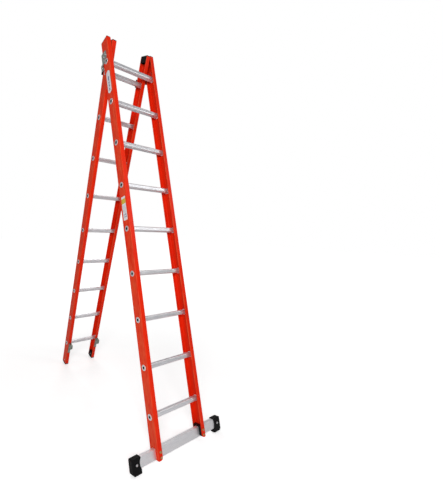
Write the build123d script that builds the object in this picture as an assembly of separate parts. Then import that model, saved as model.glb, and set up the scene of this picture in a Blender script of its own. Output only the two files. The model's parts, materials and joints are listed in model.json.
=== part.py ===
from build123d import *
from math import asin, atan2, cos, degrees, hypot, radians, sin
import os

# Two-section ladder that stands as a trestle and closes into an extension ladder.
# Lengths are in mm and angles in degrees. Each section is drawn upright in its own frame:
# X across the rungs, Y through the depth of the stiles, Z up the stiles, rung 1 at the origin.
# Pieces in pairs are drawn on the +X side and mirrored to the other.

# Sections
rung_count = 9
rung_pitch = 280.0
base_width = 390.0            # over the outer faces of the base stiles
section_gap = 8.0             # between a base flange tip and the outer face of a fly stile

# Stiles: glass-fibre channels, web outside, open side facing inwards
stile_depth = 75.0
flange_width = 30.0
stile_wall = 5.0
stile_corner_radius = 4.0
stile_root_radius = 3.0
flange_tip_radius = 1.5
base_top_above_rung = 150.0   # end of the base stiles above its top rung
base_bottom_below_rung = 232.0
fly_top_above_rung = 180.0
fly_bottom_below_rung = 224.0
foot_end_radius = 16.0        # rounded corner at the bottom of each base flange

# Rungs
rung_size = 30.0
rung_corner_radius = 8.0
rung_wall = 2.4
rung_groove_width = 1.6
rung_groove_depth = 0.9
rung_groove_pitch = 3.4
rung_grooves_per_face = 5
spigot_diameter = 26.0
rung_bore_diameter = 17.0
flare_diameter = 36.0
flare_thickness = 2.5
flare_edge_radius = 1.1
collar_diameter = 37.0
collar_thickness = 3.5
rung_hole_clearance = 0.05

# Stabiliser bar through the foot of the base
bar_height = 60.0
bar_thickness = 25.0
bar_wall = 2.5
bar_top_below_rung = 171.0
bar_overhang = 168.0          # from a base stile's outer face to the end of a foot
bar_groove_width = 2.0
bar_groove_depth = 0.8
bar_groove_offset = 21.0
bar_clearance = 0.3

# Feet of the stabiliser bar
foot_length = 60.0
foot_lip = 8.0
foot_wall = 5.5
foot_end_wall = 7.0
foot_above_bar = 4.0
foot_below_bar = 26.0
foot_sole_radius = 60.0
foot_bevel = 14.0
foot_edge_radius = 2.5
tread_width = 3.0
tread_depth = 1.6
tread_pitch = 9.0
tread_count = 4

# Saddles that fill the stile round the bar
saddle_above_bar = 6.0
saddle_clearance = 0.2

# Fasteners
bolt_diameter = 8.0
bolt_head_diameter = 14.0
bolt_head_height = 4.0
bolt_head_rounding = 1.3
nut_diameter = 14.0
nut_height = 6.5
bolt_clearance = 0.3
nut_clearance = 0.05
clamp_bolt_pitch = 30.0
rivet_diameter = 5.0
rivet_head_diameter = 10.0
rivet_head_height = 2.2
rivet_head_rounding = 1.3
rivet_clearance = 0.05

# Guide brackets at the top of the base, with their pins and shoes
pin_above_rung = 41.0         # above the base's top rung
pin_diameter = 10.0
pin_head_diameter = 16.0
pin_tail_diameter = 14.0
pin_head_height = 3.0
pin_head_rounding = 1.5
bracket_thickness = 3.0
bracket_front = -12.0
bracket_height_above_rung = 75.0
bracket_past_flange = 9.5     # flat part behind the stile, before the crank
bracket_bend_length = 19.0
bracket_behind_pin = 9.0
bracket_arm_half_height = 20.0
bracket_to_fly = 4.5          # from the bracket's arm to the outer face of the fly
bracket_corner_radius = 5.0
bracket_rivet_edge = 3.5      # from the root of the stile's flange to a rivet's head
shoe_thickness = 14.6
shoe_below_pin = 36.0
shoe_above_pin = 15.0
shoe_gap = 0.3                # between a shoe and the fly's flange
shoe_side_gap = 0.8
shoe_radius = 4.0
pin_running_clearance = 0.05
fly_flange_to_pin = 7.5       # from the fly's far flange to the pin's axis

# Hooks on the fly that hold it on a rung of the base
hook_width = 22.0
hook_x_inset = 4.0            # from the fly's outer face
hook_back = 7.1               # between the fly's near flange and the rung
hook_lip = 7.1                # beyond the rung
hook_cover = 9.0              # metal over the top of the rung
hook_lip_length = 42.0
hook_back_length = 90.0
hook_seat_clearance = 0.4
hook_radius = 4.0
hook_mouth_radius = 7.0
hook_rivet_sink = 2.6         # depth of the counterbore for a rivet's head
hook_rivet_gap = 0.3          # round the sunk head
seated_rung_offset = 7.0      # a fly rung above the base's rung when its hooks are seated

# Fly feet
boot_height = 46.0            # up inside the stile
boot_sole = 15.0
boot_sole_radius = 120.0
boot_tread_count = 7
boot_insert_gap = 0.2

# Plugs in the tops of the stiles
fly_plug_length = 38.0
base_plug_length = 15.0
plug_lid = 4.0
plug_lid_rounding = 1.25
plug_clearance = 0.15
plug_wall = 4.0

# Labels on the outer face of the left base stile
label_thickness = 0.3
oval_label_length = 152.0
oval_label_width = 41.0
oval_label_below_rung = 144.0   # its middle, below the top rung
plain_label_length = 150.0
plain_label_width = 41.0
plain_label_rung = 6
plain_label_below_rung = 151.0
label_corner_radius = 3.0

# How the two sections stand
open_angle = 32.0             # between the sections
open_lift = 10.0              # fly's place along its guides when open, above the seated place

# Places worked out from the sizes above
base_half = base_width / 2
fly_half = base_half - flange_width - section_gap
top_rung_z = (rung_count - 1) * rung_pitch
base_top_z = top_rung_z + base_top_above_rung
fly_top_z = top_rung_z + fly_top_above_rung
stile_half = stile_depth / 2
rung_half = rung_size / 2
bar_middle_z = -bar_top_below_rung - bar_height / 2
bar_bottom_z = -bar_top_below_rung - bar_height
foot_end_x = base_half + bar_overhang
foot_bottom_z = bar_bottom_z - foot_below_bar
bolt_x = base_half - flange_width / 2 - stile_wall / 2
foot_bolt_x = foot_end_x - foot_length / 2
pin_z = top_rung_z + pin_above_rung
pin_to_fly_axis = stile_half + fly_flange_to_pin
near_flange_closed = rung_half + hook_seat_clearance + hook_back
pin_behind_base = near_flange_closed + stile_half + pin_to_fly_axis
bracket_bend = stile_half + bracket_past_flange
bracket_rivet_rear = stile_half - stile_wall - rivet_head_diameter / 2 - bracket_rivet_edge
fly_rung_from_pin = seated_rung_offset + open_lift - pin_above_rung
boot_bottom_z = -fly_bottom_below_rung - boot_sole
arm_outer_x = fly_half + bracket_to_fly + bracket_thickness
hook_x = fly_half - hook_x_inset - hook_width / 2
hook_rivet_z = [-32.0, -72.0]
bracket_rivets = [(-2.0, 45.0), (10.0, 64.0), (bracket_rivet_rear, 48.0), (bracket_rivet_rear, 22.0)]
boot_rivet_z = -fly_bottom_below_rung + boot_height / 2
clamp_bolt_z = [bar_middle_z - clamp_bolt_pitch / 2, bar_middle_z + clamp_bolt_pitch / 2]
rung_heights = [k * rung_pitch for k in range(rung_count)]


def along_x(radius, length, x=0.0, y=0.0, z=0.0):
    return Pos(x, y, z) * Rot(0, 90, 0) * Cylinder(radius, length)


def along_y(radius, length, x=0.0, y=0.0, z=0.0):
    return Pos(x, y, z) * Rot(90, 0, 0) * Cylinder(radius, length)


def block(x, y, z):
    """A box from three (low, high) pairs."""
    middle = [(pair[0] + pair[1]) / 2 for pair in (x, y, z)]
    return Pos(*middle) * Box(x[1] - x[0], y[1] - y[0], z[1] - z[0])


def mirrored(shape):
    return mirror(shape, about=Plane.YZ)


def stile(outer_x, bottom, top):
    """A channel with its web's outer face at outer_x, bored for the rungs."""
    section = Pos(outer_x - flange_width / 2, 0) * Rectangle(flange_width, stile_depth)
    section = fillet(section.vertices().group_by(Axis.X)[-1], stile_corner_radius)
    hollow_width = flange_width - stile_wall
    hollow = Rectangle(hollow_width, stile_depth - 2 * stile_wall)
    hollow = Pos(outer_x - stile_wall - hollow_width / 2, 0) * hollow
    hollow = fillet(hollow.vertices().group_by(Axis.X)[-1], stile_root_radius)
    section -= hollow
    section = fillet(section.vertices().group_by(Axis.X)[0], flange_tip_radius)
    channel = Pos(0, 0, bottom) * extrude(section, top - bottom)
    hole_radius = spigot_diameter / 2 + rung_hole_clearance
    web_x = outer_x - stile_wall / 2
    for height in rung_heights:
        channel -= along_x(hole_radius, 2 * stile_wall, web_x, 0, height)
    return channel


def lower_corner():
    """What is cut away to round the inner lower corner of a base flange."""
    x = base_half - flange_width
    z = -base_bottom_below_rung
    corner = block((x, x + foot_end_radius), (-stile_half, stile_half), (z, z + foot_end_radius))
    return corner - along_y(foot_end_radius, 2 * stile_depth, x + foot_end_radius, 0,
                            z + foot_end_radius)


def base_stile():
    body = stile(base_half, -base_bottom_below_rung, base_top_z)
    slot_half = bar_thickness / 2 + bar_clearance
    slot_top = bar_clearance - bar_top_below_rung
    body -= block((base_half - 2 * stile_wall, base_half + stile_wall), (-slot_half, slot_half),
                  (-base_bottom_below_rung - stile_wall, slot_top))
    body -= lower_corner()
    hole_radius = bolt_diameter / 2 + bolt_clearance
    for height in clamp_bolt_z:
        body -= along_y(hole_radius, 2 * stile_depth, bolt_x, 0, height)
    for depth, height in bracket_rivets:
        body -= along_x(rivet_diameter / 2 + rivet_clearance, 2 * stile_wall,
                        base_half - stile_wall / 2, depth, top_rung_z + height)
    return body


def fly_stile():
    body = stile(fly_half, -fly_bottom_below_rung, fly_top_z)
    hole_radius = rivet_diameter / 2 + rivet_clearance
    for height in hook_rivet_z:
        body -= along_y(hole_radius, 2 * stile_wall, hook_x, -stile_half + stile_wall / 2, height)
    body -= along_x(hole_radius, 2 * stile_wall, fly_half - stile_wall / 2, 0, boot_rivet_z)
    return body


def rung_section():
    """Rounded square tread section with fine grips on its four faces."""
    section = RectangleRounded(rung_size, rung_size, rung_corner_radius)
    first = -(rung_grooves_per_face - 1) / 2 * rung_groove_pitch
    for turn in range(4):
        for index in range(rung_grooves_per_face):
            groove = Rectangle(rung_groove_width, 2 * rung_groove_depth)
            place = Pos(first + index * rung_groove_pitch, rung_half)
            section -= Rot(0, 0, 90 * turn) * place * groove
    return section


def rung(half_width):
    """A hollow rung, flared over the outer face of both stiles."""
    inner = half_width - stile_wall
    body = Rot(0, 90, 0) * extrude(rung_section(), inner, both=True)
    for side in (-1, 1):
        body += along_x(collar_diameter / 2, collar_thickness, side * (inner - collar_thickness / 2))
        body += along_x(spigot_diameter / 2, stile_wall, side * (inner + stile_wall / 2))
        flare = along_x(flare_diameter / 2, flare_thickness, side * (half_width + flare_thickness / 2))
        rims = flare.edges().filter_by(GeomType.CIRCLE).group_by(Axis.X)
        flare = fillet(rims[-1 if side > 0 else 0], flare_edge_radius)
        body += flare
    bore_size = rung_size - 2 * (rung_wall + rung_groove_depth)
    bore = RectangleRounded(bore_size, bore_size, rung_corner_radius - rung_wall)
    body -= Rot(0, 90, 0) * extrude(bore, inner - collar_thickness, both=True)
    body -= along_x(rung_bore_diameter / 2, 2 * half_width + 4 * flare_thickness)
    return body


def stabiliser_bar():
    half_length = foot_end_x - foot_end_wall
    bar = Pos(0, 0, bar_middle_z) * Box(2 * half_length, bar_thickness, bar_height)
    edges = bar.edges().filter_by(Axis.X)
    bar = fillet(edges, bar_wall)
    bar -= Pos(0, 0, bar_middle_z) * Box(2 * half_length, bar_thickness - 2 * bar_wall,
                                         bar_height - 2 * bar_wall)
    for side in (-1, 1):
        for offset in (-bar_groove_offset, bar_groove_offset):
            bar -= Pos(0, side * bar_thickness / 2, bar_middle_z + offset) * Box(
                2 * half_length, 2 * bar_groove_depth, bar_groove_width)
    hole_radius = bolt_diameter / 2 + bolt_clearance
    for side in (-1, 1):
        bar -= along_y(hole_radius, 2 * bar_thickness, side * foot_bolt_x, 0, bar_middle_z)
        for height in clamp_bolt_z:
            bar -= along_y(hole_radius, 2 * bar_thickness, side * bolt_x, 0, height)
    return bar


def stabiliser_foot():
    """A moulded foot that caps the end of the bar, with a crowned sole."""
    half = bar_thickness / 2 + foot_wall
    top = foot_above_bar - bar_top_below_rung
    inner_x = foot_end_x - foot_length
    foot = block((inner_x, foot_end_x), (-half, half), (foot_bottom_z, top))
    sole_corner = foot.edges().filter_by(Axis.Y).group_by(Axis.Z)[0].sort_by(Axis.X)[-1]
    foot = chamfer(sole_corner, foot_bevel)
    top_corner = foot.edges().filter_by(Axis.Y).group_by(Axis.Z)[-1].sort_by(Axis.X)[-1]
    foot = fillet(top_corner, foot_bevel / 2)
    foot = fillet(foot.edges().filter_by(Axis.X).group_by(Axis.Z)[-1], foot_edge_radius)
    foot &= along_x(foot_sole_radius, 2 * foot_length, foot_end_x - foot_length / 2, 0,
                    foot_bottom_z + foot_sole_radius) + block(
        (inner_x, foot_end_x), (-half, half), (foot_bottom_z + foot_sole_radius, top))
    pocket_half = bar_thickness / 2 + bar_clearance
    foot -= block((inner_x - foot_wall, foot_end_x - foot_end_wall), (-pocket_half, pocket_half),
                  (bar_bottom_z - bar_clearance, bar_clearance - bar_top_below_rung))
    arch_half = bar_height / 2 - bar_clearance
    arch_radius = (foot_lip ** 2 + arch_half ** 2) / (2 * foot_lip)
    foot -= along_y(arch_radius, 2 * foot_length, inner_x + foot_lip - arch_radius, 0, bar_middle_z)
    first = inner_x + foot_lip
    for index in range(tread_count):
        foot -= block((first + index * tread_pitch, first + index * tread_pitch + tread_width),
                      (-half, half), (foot_bottom_z - tread_depth, foot_bottom_z + tread_depth))
    return foot - along_y(bolt_diameter / 2 + bolt_clearance, 4 * half, foot_bolt_x, 0, bar_middle_z)


def saddle():
    """A plastic block inside the stile that carries the bar on three sides."""
    half = stile_half - stile_wall - saddle_clearance
    outer_x = base_half - stile_wall - saddle_clearance
    body = block((base_half - flange_width, outer_x), (-half, half),
                 (-base_bottom_below_rung, saddle_above_bar - bar_top_below_rung))
    body = fillet(body.edges().filter_by(Axis.Z).group_by(Axis.X)[-1], stile_root_radius)
    body -= lower_corner()
    slot_half = bar_thickness / 2 + saddle_clearance
    body -= block((base_half - 2 * flange_width, base_half), (-slot_half, slot_half),
                  (-base_bottom_below_rung - stile_wall, saddle_clearance - bar_top_below_rung))
    for height in clamp_bolt_z:
        body -= along_y(bolt_diameter / 2 + bolt_clearance, 2 * stile_depth, bolt_x, 0, height)
    return body


def bolt(grip):
    """A bolt along Y from a domed head at -Y; the joint it grips is centred on the origin."""
    head_y = -grip / 2 - bolt_head_height / 2
    head = along_y(bolt_head_diameter / 2, bolt_head_height, 0, head_y, 0)
    head = fillet(head.edges().filter_by(GeomType.CIRCLE).group_by(Axis.Y)[0], bolt_head_rounding)
    tail = nut_height + bolt_head_height / 2
    return head + along_y(bolt_diameter / 2, grip + tail, 0, tail / 2, 0)


def nut(grip):
    """A hexagonal nut along Y, seated on the far side of the joint."""
    hexagon = extrude(RegularPolygon(nut_diameter / 2, 6), nut_height)
    body = Pos(0, grip / 2, 0) * Rot(-90, 0, 0) * hexagon
    return body - along_y(bolt_diameter / 2 + nut_clearance, 4 * nut_height, 0, grip / 2, 0)


def clamp_bolt_places():
    return [(side * bolt_x, height) for side in (-1, 1) for height in clamp_bolt_z]


def clamp_bolts():
    return [Pos(x, 0, z) * bolt(stile_depth) for x, z in clamp_bolt_places()]


def clamp_nuts():
    return [Pos(x, 0, z) * nut(stile_depth) for x, z in clamp_bolt_places()]


def foot_bolts():
    grip = bar_thickness + 2 * foot_wall
    return [Pos(side * foot_bolt_x, 0, bar_middle_z) * bolt(grip) for side in (-1, 1)]


def foot_nuts():
    grip = bar_thickness + 2 * foot_wall
    return [Pos(side * foot_bolt_x, 0, bar_middle_z) * nut(grip) for side in (-1, 1)]


def rivet(grip):
    """A rivet along X with a domed head at each end of its grip, centred on the origin."""
    body = along_x(rivet_diameter / 2, grip)
    for side in (-1, 1):
        head = along_x(rivet_head_diameter / 2, rivet_head_height,
                       side * (grip + rivet_head_height) / 2)
        rims = head.edges().filter_by(GeomType.CIRCLE).group_by(Axis.X)
        body += fillet(rims[-1 if side > 0 else 0], rivet_head_rounding)
    return body


def bracket_outline():
    """Side view of a guide bracket: a plate on the web that narrows to the pin."""
    rear = pin_behind_base + bracket_behind_pin
    clear = flare_diameter / 2 + bracket_thickness
    high = top_rung_z + bracket_height_above_rung
    points = [
        (bracket_front, top_rung_z + clear),
        (bracket_front, high - clear / 2),
        (0, high),
        (stile_half, high),
        (rear, pin_z + bracket_arm_half_height),
        (rear, pin_z - bracket_arm_half_height),
        (stile_half + bracket_bend_length, top_rung_z),
        (clear, top_rung_z),
        (clear / 2, top_rung_z + clear),
    ]
    return make_face(Polyline(*points, close=True))


def guide_bracket():
    """A strap fixed on the web, cranked inwards behind the base so that the fly passes it."""
    rear = pin_behind_base + bracket_behind_pin
    half = bracket_thickness / 2
    web_x = base_half + half
    arm_x = arm_outer_x - half
    line = Polyline((web_x, bracket_front - half), (web_x, bracket_bend),
                    (arm_x, bracket_bend + bracket_bend_length), (arm_x, rear + half))
    line = fillet(line.vertices().sort_by(Axis.Y)[1:3], bracket_corner_radius)
    band = offset(line, half, side=Side.BOTH, closed=True)
    strip = extrude(make_face(band.edges()), top_rung_z + 4 * bracket_height_above_rung)
    profile = Plane.YZ * bracket_outline()
    body = strip & extrude(profile, base_width)
    for depth, height in bracket_rivets:
        body -= along_x(rivet_diameter / 2 + rivet_clearance, 4 * bracket_thickness,
                        web_x, depth, top_rung_z + height)
    return body - along_x(pin_diameter / 2 + rivet_clearance, 4 * bracket_thickness,
                          arm_x, pin_behind_base, pin_z)


def bracket_rivet_set():
    grip = bracket_thickness + stile_wall
    middle = base_half + (bracket_thickness - stile_wall) / 2
    rivets = [Pos(middle, depth, top_rung_z + height) * rivet(grip)
              for depth, height in bracket_rivets]
    return rivets + [mirrored(one) for one in rivets]


def guide_pin():
    """A headed pin, fixed in the bracket's arm, that carries the shoe behind the fly's flange."""
    inner_x = fly_half - flange_width - shoe_side_gap
    body = along_x(pin_diameter / 2, arm_outer_x - inner_x, (arm_outer_x + inner_x) / 2)
    outer_head = along_x(pin_head_diameter / 2, pin_head_height, arm_outer_x + pin_head_height / 2)
    outer_rim = outer_head.edges().filter_by(GeomType.CIRCLE).group_by(Axis.X)[-1]
    body += fillet(outer_rim, pin_head_rounding)
    inner_head = along_x(pin_tail_diameter / 2, pin_head_height, inner_x - pin_head_height / 2)
    inner_rim = inner_head.edges().filter_by(GeomType.CIRCLE).group_by(Axis.X)[0]
    body += fillet(inner_rim, pin_head_rounding)
    return Pos(0, pin_behind_base, pin_z) * body


def guide_shoe():
    """A nylon shoe on the pin, in the fly's frame with the pin's axis at the origin."""
    inner_x = fly_half - flange_width
    outer_x = arm_outer_x - bracket_thickness - shoe_side_gap
    face_y = shoe_gap - fly_flange_to_pin
    body = block((inner_x, outer_x), (face_y, face_y + shoe_thickness), (-shoe_below_pin, shoe_above_pin))
    body = fillet(body.edges().filter_by(Axis.X), shoe_radius)
    return body - along_x(pin_diameter / 2 + pin_running_clearance, 2 * flange_width,
                          (inner_x + outer_x) / 2)


def rung_hook():
    """A cast hook on the flange that faces the base, open downwards to drop over a rung."""
    gullet_far = near_flange_closed + rung_half + hook_seat_clearance
    reach = gullet_far + hook_lip
    seat = rung_half - seated_rung_offset + hook_seat_clearance
    top = seat + hook_cover
    points = [
        (0, -hook_back_length),
        (0, top),
        (-reach, top),
        (-reach, top - hook_lip_length),
        (-gullet_far, top - hook_lip_length),
        (-gullet_far, seat),
        (-hook_back, seat),
        (-hook_back, -hook_back_length),
    ]
    outline = make_face(Polyline(*points, close=True))
    corners = outline.vertices()
    outer_top = corners.group_by(Axis.Y)[-1].sort_by(Axis.X)[0]
    outline = fillet(outer_top, hook_mouth_radius)
    seats = outline.vertices().filter_by(lambda v: abs(v.Y - seat) < rung_groove_depth)
    outline = fillet(seats, hook_radius)
    body = Pos(hook_x - hook_width / 2, -stile_half, 0) * extrude(Plane.YZ * outline, hook_width)
    for height in hook_rivet_z:
        body -= along_y(rivet_diameter / 2 + rivet_clearance, 2 * stile_depth, hook_x, 0, height)
        body -= along_y(rivet_head_diameter / 2 + hook_rivet_gap, 2 * hook_rivet_sink, hook_x,
                        -stile_half - hook_back, height)
    return body


def hook_rivet_set():
    grip = hook_back - hook_rivet_sink + stile_wall
    middle = -stile_half + stile_wall - grip / 2
    rivets = [Pos(hook_x, middle, height) * Rot(0, 0, 90) * rivet(grip) for height in hook_rivet_z]
    return rivets + [mirrored(one) for one in rivets]


def fly_boot():
    """A rubber sole under the end of a fly stile, with a block up inside the channel."""
    inner_x = fly_half - flange_width
    top = boot_height - fly_bottom_below_rung
    sole = block((inner_x, fly_half), (-stile_half, stile_half), (boot_bottom_z, -fly_bottom_below_rung))
    sole = fillet(sole.edges().filter_by(Axis.Z).group_by(Axis.X)[-1], stile_corner_radius)
    sole &= along_x(boot_sole_radius, 4 * flange_width, fly_half, 0, boot_bottom_z + boot_sole_radius)
    pitch = stile_depth / boot_tread_count
    for index in range(boot_tread_count):
        middle = (index - (boot_tread_count - 1) / 2) * pitch
        crown = middle ** 2 / (2 * boot_sole_radius)
        sole -= block((inner_x, fly_half), (middle - tread_width / 2, middle + tread_width / 2),
                      (boot_bottom_z - boot_sole, boot_bottom_z + tread_depth + crown))
    half = stile_half - stile_wall - boot_insert_gap
    insert = block((inner_x, fly_half - stile_wall - boot_insert_gap), (-half, half),
                   (-fly_bottom_below_rung, top))
    insert = fillet(insert.edges().filter_by(Axis.Z).group_by(Axis.X)[-1], stile_root_radius)
    return sole + insert - along_x(rivet_diameter / 2 + rivet_clearance, 4 * flange_width, fly_half, 0,
                                   boot_rivet_z)


def boot_rivet_set():
    one = Pos(fly_half - flange_width / 2, 0, boot_rivet_z) * rivet(flange_width)
    return [one, mirrored(one)]


def top_plug(outer_x, top, length):
    """A hollow plastic plug with a thin lid that covers the end of a stile."""
    lid = block((outer_x - flange_width, outer_x), (-stile_half, stile_half), (top, top + plug_lid))
    lid = fillet(lid.edges().filter_by(Axis.Z), stile_corner_radius)
    lid = fillet(lid.edges().group_by(Axis.Z)[-1], plug_lid_rounding)
    half = stile_half - stile_wall - plug_clearance
    web_x = outer_x - stile_wall - plug_clearance
    body = block((outer_x - flange_width, web_x), (-half, half), (top - length, top))
    body = fillet(body.edges().filter_by(Axis.Z).group_by(Axis.X)[-1], stile_root_radius)
    hollow_half = half - plug_wall
    body -= block((outer_x - flange_width + plug_wall, web_x - plug_wall), (-hollow_half, hollow_half),
                  (top - length - plug_wall, top - plug_wall))
    return lid + body


def oval_label():
    flat = SlotOverall(oval_label_length, oval_label_width)
    sheet = extrude(flat, label_thickness)
    return Pos(-base_half, 0, top_rung_z - oval_label_below_rung) * Rot(0, -90, 0) * sheet


def plain_label():
    height = (plain_label_rung - 1) * rung_pitch - plain_label_below_rung
    flat = RectangleRounded(plain_label_length, plain_label_width, label_corner_radius)
    sheet = extrude(flat, label_thickness)
    return Pos(-base_half, 0, height) * Rot(0, -90, 0) * sheet


def base_pieces():
    pieces = {}
    pieces["base_stile_right"] = base_stile()
    for number, height in enumerate(rung_heights, start=1):
        pieces[f"base_rung_{number}"] = Pos(0, 0, height) * rung(base_half)
    pieces["stabiliser_bar"] = stabiliser_bar()
    pieces["stabiliser_foot_right"] = stabiliser_foot()
    pieces["stabiliser_saddle_right"] = saddle()
    pieces["guide_bracket_right"] = guide_bracket()
    pieces["guide_pin_right"] = guide_pin()
    pieces["base_top_plug_right"] = top_plug(base_half, base_top_z, base_plug_length)
    pieces.update(with_left(pieces))
    pieces["foot_bolts"] = Compound(foot_bolts())
    pieces["foot_nuts"] = Compound(foot_nuts())
    pieces["saddle_bolts"] = Compound(clamp_bolts())
    pieces["saddle_nuts"] = Compound(clamp_nuts())
    pieces["bracket_rivets"] = Compound(bracket_rivet_set())
    pieces["oval_label"] = oval_label()
    pieces["plain_label"] = plain_label()
    return pieces


def fly_pieces():
    pieces = {}
    pieces["fly_stile_right"] = fly_stile()
    for number, height in enumerate(rung_heights, start=1):
        pieces[f"fly_rung_{number}"] = Pos(0, 0, height) * rung(fly_half)
    pieces["rung_hook_right"] = rung_hook()
    pieces["fly_boot_right"] = fly_boot()
    pieces["fly_top_plug_right"] = top_plug(fly_half, fly_top_z, fly_plug_length)
    pieces.update(with_left(pieces))
    pieces["hook_rivets"] = Compound(hook_rivet_set())
    pieces["boot_rivets"] = Compound(boot_rivet_set())
    return pieces


def shoe_pieces():
    pieces = {"guide_shoe_right": guide_shoe()}
    pieces.update(with_left(pieces))
    return pieces


def with_left(pieces):
    """The left copy of each piece named for the right side."""
    right = [name for name in pieces if name.endswith("_right")]
    return {name.replace("_right", "_left"): mirrored(pieces[name]) for name in right}


def base_lean():
    """Lean of the base from upright that puts all four soles on one level."""
    turn = radians(open_angle)
    sole_y = 0.0
    sole_z = foot_bottom_z + foot_sole_radius
    along = fly_rung_from_pin - top_rung_z + boot_bottom_z + boot_sole_radius
    boot_y = pin_behind_base - along * sin(turn) - pin_to_fly_axis * cos(turn)
    boot_z = pin_z + along * cos(turn) - pin_to_fly_axis * sin(turn)
    span = hypot(boot_y - sole_y, boot_z - sole_z)
    slope = atan2(boot_z - sole_z, boot_y - sole_y)
    return degrees(slope - asin((boot_sole_radius - foot_sole_radius) / span))


def placed_pieces():
    """Every piece in the standing pose, on the ground and centred about the origin."""
    stand = Rot(-base_lean(), 0, 0)
    at_pin = stand * Pos(0, pin_behind_base, pin_z) * Rot(open_angle, 0, 0)
    at_fly = at_pin * Pos(0, -pin_to_fly_axis, fly_rung_from_pin - top_rung_z)
    pieces = {name: stand * piece for name, piece in base_pieces().items()}
    pieces.update({name: at_pin * piece for name, piece in shoe_pieces().items()})
    pieces.update({name: at_fly * piece for name, piece in fly_pieces().items()})
    front = pieces["stabiliser_foot_left"].bounding_box()
    back = pieces["fly_boot_left"].bounding_box()
    centre = Pos(0, -(front.min.Y + back.max.Y) / 2, -front.min.Z)
    pin = (centre * stand * Pos(0, pin_behind_base, pin_z)).position
    print("lean", round(base_lean(), 4), "pin axis", round(pin.Y, 4), round(pin.Z, 4))
    return {name: centre * piece for name, piece in pieces.items()}


os.makedirs("parts", exist_ok=True)
for name, piece in placed_pieces().items():
    export_step(piece, f"parts/{name}.step")
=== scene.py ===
import json
import math

import bpy
from mathutils import Matrix, Vector


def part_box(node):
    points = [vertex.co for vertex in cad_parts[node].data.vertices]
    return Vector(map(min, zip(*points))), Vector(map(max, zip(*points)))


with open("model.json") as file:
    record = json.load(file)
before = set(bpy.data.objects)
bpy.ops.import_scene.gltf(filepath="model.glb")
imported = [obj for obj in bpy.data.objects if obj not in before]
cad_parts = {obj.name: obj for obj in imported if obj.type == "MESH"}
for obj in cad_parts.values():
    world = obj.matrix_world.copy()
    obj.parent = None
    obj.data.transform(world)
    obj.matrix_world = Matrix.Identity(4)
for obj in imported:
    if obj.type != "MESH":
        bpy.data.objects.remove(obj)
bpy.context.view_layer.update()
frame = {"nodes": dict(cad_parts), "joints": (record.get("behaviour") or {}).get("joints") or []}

# Colours are linear RGB. Lengths are in metres.
ORANGE = (0.80, 0.020, 0.0030)
ORANGE_LIGHT = (0.88, 0.042, 0.005)
ORANGE_DARK = (0.60, 0.009, 0.0024)
ORANGE_WORN = (0.82, 0.130, 0.045)
ALUMINIUM = (0.93, 0.93, 0.95)
ALUMINIUM_DARK = (0.72, 0.72, 0.75)
# Near-black painted shade for the insides of the hollow rungs.
PAINTED_BORE_SHADE = (0.035, 0.022, 0.020)
CAST = (0.40, 0.45, 0.40)
CAST_DARK = (0.22, 0.26, 0.22)
ZINC = (0.62, 0.64, 0.60)
ZINC_DARK = (0.44, 0.47, 0.43)
YELLOW_ZINC = (0.62, 0.44, 0.20)
YELLOW_ZINC_DARK = (0.40, 0.25, 0.10)
STEEL = (0.70, 0.70, 0.71)
STEEL_DARK = (0.50, 0.50, 0.52)
RIVET = (0.74, 0.74, 0.76)
RIVET_DARK = (0.58, 0.58, 0.60)
RUBBER = (0.0028, 0.0028, 0.0031)
NYLON = (0.0034, 0.0034, 0.0039)
DUST_GAIN = 2.0                  # how much lighter dusty rubber or nylon is than clean
FILM = (0.74, 0.74, 0.77)
FILM_LIGHT = (0.84, 0.84, 0.86)
PRINT_BLUE = (0.20, 0.23, 0.38)
PRINT_RED = (0.30, 0.12, 0.12)
PRINT_YELLOW = (0.66, 0.46, 0.04)
PRINT_GREY = (0.46, 0.46, 0.50)
PRINT_DARK = (0.22, 0.25, 0.36)
PRINT_SLATE = (0.36, 0.38, 0.46)
FLOOR = (0.80, 0.80, 0.80, 1.0)
WHITE = (1.0, 1.0, 1.0, 1.0)

STILE_FLANGE = 0.030
STILE_WALL = 0.005
WORN_EDGE = 0.004                # width of the rubbed band along an edge
RUNG_HOLLOW_HALF = 0.0125
RUNG_BORE_RADIUS = 0.0086

FLOOR_SIZE = 60.0
GLOW_REACH = (1.0, 6.0)          # distances between which the floor's own light grows
GLOW = (0.48, 0.88)              # how strong it is at each, for the camera alone
WORLD_LIGHT = 0.30
WORLD_SEEN = 1.0
LIGHTS_AIM = (0.0, 0.0, 1.2)

CAMERA_PLACE = (-1.2070, -1.8405, 1.3165)
CAMERA_YAW, CAMERA_DOWN, CAMERA_ROLL = 34.607, 7.435, 1.946
CAMERA_SENSOR = 36.0
CAMERA_LENS = 20.7504
CAMERA_SHIFT = (0.1898, 0.0364)
CAMERA_NEAR, CAMERA_FAR = 0.05, 100.0

SPREAD = next(joint for joint in frame["joints"] if joint["name"] == "spread")
SLIDE = next(joint for joint in frame["joints"] if joint["name"] == "fly_slide")


def section_turns():
    """The turn about X that stands each section's own upright axis along its stiles."""
    along_fly = Vector(SLIDE["axis"])
    fly_turn = math.atan2(-along_fly.y, along_fly.z)
    open_angle = -math.radians(SPREAD["range_deg"][0])
    return {"base": fly_turn - open_angle, "fly": fly_turn, "carriage": fly_turn}


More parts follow.
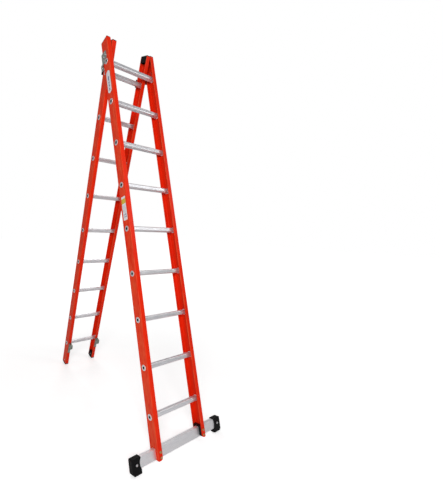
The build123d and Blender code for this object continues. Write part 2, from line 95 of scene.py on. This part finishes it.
class Nodes:
    """A short way to write a material's node tree."""

    def __init__(self, name):
        self.material = bpy.data.materials.new(name)
        self.material.use_nodes = True
        self.tree = self.material.node_tree
        self.shader = self.tree.nodes["Principled BSDF"]

    def add(self, kind, **settings):
        node = self.tree.nodes.new(kind)
        for key, value in settings.items():
            setattr(node, key, value)
        return node

    def link(self, source, target):
        self.tree.links.new(source, target)

    def shade(self, **values):
        for key, value in values.items():
            self.shader.inputs[key.replace("_", " ")].default_value = value

    def place(self, turn=0.0, scale=(1, 1, 1)):
        """Object coordinates, turned about X so that Z runs along the section, then scaled."""
        coordinates = self.add("ShaderNodeTexCoord").outputs["Object"]
        turned = self.add("ShaderNodeMapping")
        turned.inputs["Rotation"].default_value = (-turn, 0, 0)
        self.link(coordinates, turned.inputs["Vector"])
        scaled = self.add("ShaderNodeMapping")
        scaled.inputs["Scale"].default_value = scale
        self.link(turned.outputs["Vector"], scaled.inputs["Vector"])
        return scaled.outputs["Vector"]

    def axis(self, vector, name):
        node = self.add("ShaderNodeSeparateXYZ")
        self.link(vector, node.inputs["Vector"])
        return node.outputs[name]

    def noise(self, vector, scale, detail=4.0, roughness=0.55):
        node = self.add("ShaderNodeTexNoise")
        node.inputs["Scale"].default_value = scale
        node.inputs["Detail"].default_value = detail
        node.inputs["Roughness"].default_value = roughness
        self.link(vector, node.inputs["Vector"])
        return node.outputs["Fac"]

    def spread(self, value, low, high, to_low=0.0, to_high=1.0):
        node = self.add("ShaderNodeMapRange")
        node.inputs["From Min"].default_value = low
        node.inputs["From Max"].default_value = high
        node.inputs["To Min"].default_value = to_low
        node.inputs["To Max"].default_value = to_high
        self.link(value, node.inputs["Value"])
        return node.outputs["Result"]

    def math(self, operation, first, second=0.0):
        node = self.add("ShaderNodeMath", operation=operation)
        for socket, value in zip(node.inputs, (first, second)):
            if isinstance(value, (int, float)):
                socket.default_value = value
            else:
                self.link(value, socket)
        return node.outputs["Value"]

    def mix(self, factor, first, second):
        node = self.add("ShaderNodeMix", data_type="RGBA")
        self.link(factor, node.inputs["Factor"])
        for socket, value in ((node.inputs[6], first), (node.inputs[7], second)):
            if isinstance(value, tuple):
                socket.default_value = (*value, 1.0)
            else:
                self.link(value, socket)
        return node.outputs[2]

    def bump(self, *layers):
        """Layers of (height, strength, distance), the first one lowest."""
        normal = None
        for height, strength, distance in layers:
            node = self.add("ShaderNodeBump")
            node.inputs["Strength"].default_value = strength
            node.inputs["Distance"].default_value = distance
            self.link(height, node.inputs["Height"])
            if normal is not None:
                self.link(normal, node.inputs["Normal"])
            normal = node.outputs["Normal"]
        self.link(normal, self.shader.inputs["Normal"])


def glass_fibre(name, turn, outer_x):
    """Pultruded glass fibre: fine lengthwise rovings under a thin pigmented resin skin."""
    m = Nodes(name)
    rovings = m.noise(m.place(turn, (1.0, 1.0, 0.012)), 900.0, 3.0)
    bands = m.noise(m.place(turn, (1.0, 1.0, 0.02)), 120.0, 3.0)
    clouds = m.noise(m.place(turn), 7.0, 5.0)
    veil = m.noise(m.place(turn, (1.0, 1.0, 0.35)), 1500.0, 2.0)
    scuffs = m.noise(m.place(turn, (1.0, 1.0, 0.15)), 90.0, 6.0, 0.7)
    streak = m.spread(rovings, 0.35, 0.70)
    tone = m.mix(m.spread(bands, 0.35, 0.68), ORANGE_DARK, ORANGE)
    tone = m.mix(m.spread(clouds, 0.25, 0.60), tone, ORANGE)
    tone = m.mix(m.math("MULTIPLY", streak, 0.35), tone, ORANGE_LIGHT)
    across = m.math("ABSOLUTE", m.axis(m.place(), "X"))
    tip_x = outer_x - STILE_FLANGE
    tip = m.spread(across, tip_x, tip_x + WORN_EDGE, 1.0, 0.0)
    rim = m.spread(across, outer_x - WORN_EDGE, outer_x, 0.0, 0.6)
    worn = m.math("MULTIPLY", m.math("ADD", tip, rim), m.spread(scuffs, 0.40, 0.62))
    m.link(m.mix(worn, tone, ORANGE_WORN), m.shader.inputs["Base Color"])
    rough = m.math("ADD", m.spread(clouds, 0.3, 0.7, 0.28, 0.40), m.math("MULTIPLY", worn, 0.2))
    m.link(rough, m.shader.inputs["Roughness"])
    m.bump((bands, 0.10, 0.0006), (rovings, 0.10, 0.0002), (veil, 0.06, 0.0001))
    m.shade(Specular_IOR_Level=0.09)
    return m.material


def drawn_metal(name, turn, roughness, hollow=None):
    """Extruded metal with fine die lines along X. What is inside a hollow is painted near-black as
    painted shade, and made duller.
    """
    m = Nodes(name)
    lines = m.noise(m.place(turn, (0.010, 1.0, 1.0)), 1400.0, 3.0)
    broad = m.noise(m.place(turn, (0.020, 1.0, 1.0)), 260.0, 2.0)
    stains = m.noise(m.place(turn), 28.0, 5.0)
    tone = m.mix(m.spread(lines, 0.3, 0.7), ALUMINIUM_DARK, ALUMINIUM)
    tone = m.mix(m.spread(stains, 0.45, 0.75, 0.0, 0.5), tone, ALUMINIUM)
    rough = m.spread(stains, 0.35, 0.7, *roughness)
    if hollow is not None:
        inside = hollow(m, turn)
        # Painted shade: the insides of the rung bores are painted near-black, the way shade in a
        # deep hole looks.
        tone = m.mix(inside, tone, PAINTED_BORE_SHADE)
        rough = m.math("ADD", rough, m.math("MULTIPLY", inside, 0.4))
    m.link(tone, m.shader.inputs["Base Color"])
    m.link(rough, m.shader.inputs["Roughness"])
    m.bump((broad, 0.06, 0.0003), (lines, 0.18, 0.0001), (stains, 0.05, 0.0006))
    m.shade(Metallic=0.80)
    return m.material


def rung_hollow(section):
    """Gives the mask of the insides of a section's rungs, where painted shade goes; the rungs
    stand at an even pitch.
    """
    first, second = (middle_of(f"{section}_rung_{number}") for number in (1, 2))
    outer_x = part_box(f"{section}_stile_right")[1].x

    def mask(m, turn):
        upright = Matrix.Rotation(-turn, 3, "X")
        start, pitch = upright @ first, (second - first).length
        here = m.place(turn)
        across = m.math("ABSOLUTE", m.math("SUBTRACT", m.axis(here, "Y"), start.y))
        step = m.math("SUBTRACT", m.axis(here, "Z"), start.z - pitch / 2)
        fraction = m.math("FRACT", m.math("DIVIDE", step, pitch))
        above = m.math("MULTIPLY", fraction, pitch)
        along = m.math("ABSOLUTE", m.math("SUBTRACT", above, pitch / 2))
        square = m.math("LESS_THAN", m.math("MAXIMUM", across, along), RUNG_HOLLOW_HALF)
        length = m.math("ABSOLUTE", m.axis(here, "X"))
        short = m.math("LESS_THAN", length, outer_x - STILE_WALL)
        within = m.math("MULTIPLY", square, short)
        squares = (m.math("POWER", across, 2.0), m.math("POWER", along, 2.0))
        radius = m.math("SQRT", m.math("ADD", *squares))
        return m.math("MAXIMUM", within, m.math("LESS_THAN", radius, RUNG_BORE_RADIUS))

    return mask


def middle_of(node):
    low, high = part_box(node)
    return (low + high) / 2


def plated_metal(name, colour, dark, roughness=(0.28, 0.45)):
    """Zinc plate over pressed or turned steel: faint spangle and a little staining."""
    m = Nodes(name)
    spangle = m.noise(m.place(), 180.0, 2.0)
    stains = m.noise(m.place(), 35.0, 6.0)
    grain = m.noise(m.place(), 1800.0, 2.0)
    tone = m.mix(m.spread(spangle, 0.4, 0.6), dark, colour)
    m.link(tone, m.shader.inputs["Base Color"])
    m.link(m.spread(stains, 0.3, 0.7, *roughness), m.shader.inputs["Roughness"])
    m.bump((stains, 0.06, 0.0008), (grain, 0.08, 0.0001))
    m.shade(Metallic=1.0)
    return m.material


def cast_metal(name):
    """Tumbled aluminium casting with a sandy skin."""
    m = Nodes(name)
    sand = m.noise(m.place(), 900.0, 4.0)
    lumps = m.noise(m.place(), 160.0, 4.0)
    tone = m.mix(m.spread(lumps, 0.3, 0.7), CAST_DARK, CAST)
    m.link(tone, m.shader.inputs["Base Color"])
    m.link(m.spread(lumps, 0.3, 0.7, 0.42, 0.60), m.shader.inputs["Roughness"])
    m.bump((lumps, 0.10, 0.0008), (sand, 0.25, 0.0002))
    m.shade(Metallic=1.0)
    return m.material


def black_mould(name, colour, roughness, pebble):
    """Moulded rubber or nylon with a fine pebbled skin and dust in its hollows."""
    m = Nodes(name)
    pebbles = m.noise(m.place(), pebble, 3.0)
    flow = m.noise(m.place(), 60.0, 4.0)
    dust = tuple(channel * DUST_GAIN for channel in colour)
    m.link(m.mix(m.spread(flow, 0.45, 0.80), colour, dust), m.shader.inputs["Base Color"])
    m.link(m.spread(flow, 0.3, 0.7, *roughness), m.shader.inputs["Roughness"])
    m.bump((flow, 0.08, 0.0010), (pebbles, 0.30, 0.00025))
    m.shade(Specular_IOR_Level=0.12)
    return m.material


def clothe(material, *names):
    for name in names:
        slots = frame["nodes"][name].data.materials
        slots.clear()
        slots.append(material)


def named(*starts):
    return [name for name in frame["nodes"] if name.startswith(starts)]


def dress_frame():
    turns = section_turns()
    for section in ("base", "fly"):
        outer_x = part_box(f"{section}_stile_right")[1].x
        stiles = glass_fibre(f"glass_fibre_{section}", turns[section], outer_x)
        clothe(stiles, *named(f"{section}_stile"))
        rungs = drawn_metal(f"rung_aluminium_{section}", turns[section], (0.34, 0.48),
                            rung_hollow(section))
        clothe(rungs, *named(f"{section}_rung"))
    clothe(drawn_metal("bar_aluminium", turns["base"], (0.38, 0.52)), "stabiliser_bar")
    clothe(black_mould("foot_rubber", RUBBER, (0.45, 0.65), 1100.0),
           *named("stabiliser_foot", "fly_boot"))
    clothe(black_mould("nylon", NYLON, (0.35, 0.50), 1600.0),
           *named("stabiliser_saddle", "base_top_plug", "fly_top_plug", "guide_shoe"))
    clothe(plated_metal("zinc_bracket", ZINC, ZINC_DARK), *named("guide_bracket"))
    clothe(plated_metal("zinc_fastener", STEEL, STEEL_DARK, (0.22, 0.38)),
           *named("guide_pin", "foot_bolts", "foot_nuts"))
    clothe(plated_metal("yellow_zinc", YELLOW_ZINC, YELLOW_ZINC_DARK, (0.25, 0.42)),
           *named("saddle_"))
    clothe(cast_metal("cast_hook"), *named("rung_hook"))
    clothe(plated_metal("rivet_metal", RIVET, RIVET_DARK, (0.25, 0.40)),
           *named("bracket_rivets", "hook_rivets", "boot_rivets"))
    clothe(oval_print(turns["base"]), "oval_label")
    clothe(rectangle_print(turns["base"]), "plain_label")


class Label(Nodes):
    """Printed film. Places on it are measured from its middle, along and across its stile."""

    def __init__(self, node, turn):
        super().__init__(node + "_film")
        low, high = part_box(node)
        middle = Matrix.Rotation(-turn, 3, "X") @ ((low + high) / 2)
        here = self.place(turn)
        self.along = self.math("SUBTRACT", self.axis(here, "Z"), middle.z)
        self.across = self.math("SUBTRACT", self.axis(here, "Y"), middle.y)
        fibres = self.noise(self.place(), 600.0, 3.0)
        self.tone = self.mix(self.spread(fibres, 0.3, 0.7), FILM, FILM_LIGHT)
        self.bump((fibres, 0.05, 0.0001))
        self.shade(Roughness=0.35)

    def window(self, value, low, high):
        """1 where value lies between low and high, else 0."""
        return self.math("MULTIPLY", self.math("GREATER_THAN", value, low),
                         self.math("LESS_THAN", value, high))

    def patch(self, along, across, colour, pattern=None):
        """Prints a colour inside a rectangle, wherever the pattern is 1."""
        mask = self.math("MULTIPLY", self.window(self.along, *along),
                         self.window(self.across, *across))
        if pattern is not None:
            mask = self.math("MULTIPLY", mask, pattern)
        self.tone = self.mix(mask, self.tone, colour)

    def blocks(self, scale, above):
        """Uneven blocks along the stile."""
        runs = self.noise(self.place(0.0, (0.0, 0.15, 1.0)), scale, 0.0)
        return self.math("GREATER_THAN", runs, above)

    def rows(self, pitch, filled):
        """Thin even rows across the stile."""
        step = self.math("FRACT", self.math("DIVIDE", self.along, pitch))
        return self.math("LESS_THAN", step, filled)

    def printed(self):
        self.link(self.tone, self.shader.inputs["Base Color"])
        return self.material


def oval_print(turn):
    """A pale oval with one blue-grey column of plain blocks."""
    label = Label("oval_label", turn)
    label.patch((-0.054, 0.050), (-0.0065, 0.0065), PRINT_BLUE, label.blocks(190.0, 0.46))
    label.patch((-0.060, -0.056), (-0.0080, 0.0080), PRINT_RED)
    return label.printed()


def rectangle_print(turn):
    """A pale rectangle with a yellow head, thin grey rows and a few dark squares at its foot."""
    label = Label("plain_label", turn)
    label.patch((0.030, 0.061), (-0.0205, 0.0205), PRINT_YELLOW)
    label.patch((-0.030, 0.024), (-0.0155, 0.0155), PRINT_GREY, label.rows(0.0060, 0.30))
    for low in (-0.057, -0.044):
        square = (low, low + 0.009)
        label.patch(square, (-0.014, -0.002), PRINT_DARK)
        label.patch(square, (0.003, 0.014), PRINT_SLATE)
    return label.printed()


def floor():
    """A pale studio floor that brightens away from the ladder until it meets the backdrop."""
    bpy.ops.mesh.primitive_plane_add(size=FLOOR_SIZE, location=(0, 0, 0))
    plane = bpy.context.object
    plane.name = "floor"
    m = Nodes("floor")
    reach = m.add("ShaderNodeVectorMath", operation="LENGTH")
    m.link(m.place(), reach.inputs[0])
    glow = m.spread(reach.outputs["Value"], *GLOW_REACH, *GLOW)
    seen = m.add("ShaderNodeLightPath").outputs["Is Camera Ray"]
    m.link(m.math("MULTIPLY", glow, seen), m.shader.inputs["Emission Strength"])
    m.shade(Base_Color=FLOOR, Roughness=0.8, Emission_Color=WHITE)
    plane.data.materials.append(m.material)


def area_light(name, place, size, power):
    data = bpy.data.lights.new(name, "AREA")
    data.size = size
    data.energy = power
    light = bpy.data.objects.new(name, data)
    bpy.context.collection.objects.link(light)
    light.location = place
    light.rotation_euler = (Vector(LIGHTS_AIM) - Vector(place)).to_track_quat("-Z", "Y").to_euler()


def lights():
    world = bpy.data.worlds.new("studio")
    world.use_nodes = True
    tree = world.node_tree
    background = tree.nodes["Background"]
    background.inputs["Color"].default_value = WHITE
    seen = tree.nodes.new("ShaderNodeLightPath").outputs["Is Camera Ray"]
    strength = tree.nodes.new("ShaderNodeMapRange")
    strength.inputs["To Min"].default_value = WORLD_LIGHT
    strength.inputs["To Max"].default_value = WORLD_SEEN
    tree.links.new(seen, strength.inputs["Value"])
    tree.links.new(strength.outputs["Result"], background.inputs["Strength"])
    bpy.context.scene.world = world
    area_light("key", (-2.1, -2.8, 2.3), size=1.6, power=80.0)
    area_light("fill", (2.2, -2.9, 3.4), size=1.2, power=20.0)
    area_light("rim", (1.5, 4.0, 4.0), size=2.5, power=60.0)


def camera():
    """Stands at the front left, a little above the ladder's middle, and looks slightly down."""
    yaw, down, roll = (math.radians(angle) for angle in (CAMERA_YAW, CAMERA_DOWN, CAMERA_ROLL))
    data = bpy.data.cameras.new("camera")
    data.sensor_width = CAMERA_SENSOR
    data.lens = CAMERA_LENS
    data.shift_x, data.shift_y = CAMERA_SHIFT
    data.clip_start, data.clip_end = CAMERA_NEAR, CAMERA_FAR
    view = bpy.data.objects.new("camera", data)
    bpy.context.collection.objects.link(view)
    look = Matrix.Rotation(-yaw, 4, "Z") @ Matrix.Rotation(math.pi / 2 - down, 4, "X")
    place = Matrix.Translation(Vector(CAMERA_PLACE))
    view.matrix_world = place @ look @ Matrix.Rotation(roll, 4, "Z")
    bpy.context.scene.camera = view


bpy.context.scene.view_settings.view_transform = "Standard"
dress_frame()
floor()
lights()
camera()
